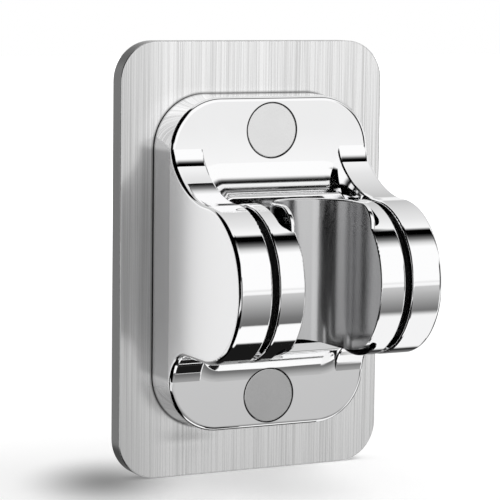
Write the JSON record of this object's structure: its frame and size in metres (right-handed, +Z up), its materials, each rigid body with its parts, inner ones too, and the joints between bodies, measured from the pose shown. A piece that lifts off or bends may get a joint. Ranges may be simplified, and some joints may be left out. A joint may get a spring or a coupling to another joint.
{
  "type": "hand shower holder",
  "caption": "Wall holder for a hand shower: flat plate, block with ears, and a tilting cradle with a trough open at the front.",
  "frame": {"origin": "middle of the back face of the adhesive pad, which lies on the wall", "axes": "+Y into the wall, +Z up, +X to the right as seen by someone facing the wall"},
  "size_m": [0.08, 0.0591, 0.12],
  "materials": {
    "brushed_plate": "fine vertical brushing, satin",
    "bright_chrome": "mirror-bright plating",
    "cradle_chrome": "bright plating, slightly satin inside the trough",
    "cap_satin": "satin silver-grey",
    "screw_steel": "turned stainless steel",
    "spring_steel": "drawn spring wire and strip",
    "black_nylon": "moulded nylon",
    "black_rubber": "smooth sheet rubber",
    "pad_foam": "acrylic foam tape"
  },
  "bodies": {
    "bracket": {"adhesive_pad": "pad_foam", "back_plate": "brushed_plate", "housing_gasket": "black_rubber", "housing": "bright_chrome", "fixing_screw_top": "screw_steel", "fixing_screw_bottom": "screw_steel", "screw_washer_top": "screw_steel", "screw_washer_bottom": "screw_steel", "screw_cap_top": "cap_satin", "screw_cap_bottom": "cap_satin"},
    "cradle": {"cradle": "cradle_chrome", "pivot_pin_left": "screw_steel", "pivot_pin_right": "screw_steel", "pin_spring_left": "spring_steel", "pin_spring_right": "spring_steel", "friction_washer_left": "black_nylon", "friction_washer_right": "black_nylon", "wave_spring_left": "spring_steel", "wave_spring_right": "spring_steel"}
  },
  "joints": [
    {"name": "cradle_tilt", "type": "hinge", "parent": "bracket", "child": "cradle", "pos_m": [0, -0.0382, -0.0024], "axis": [1, 0, 0], "range_deg": [-20, 40]}
  ]
}
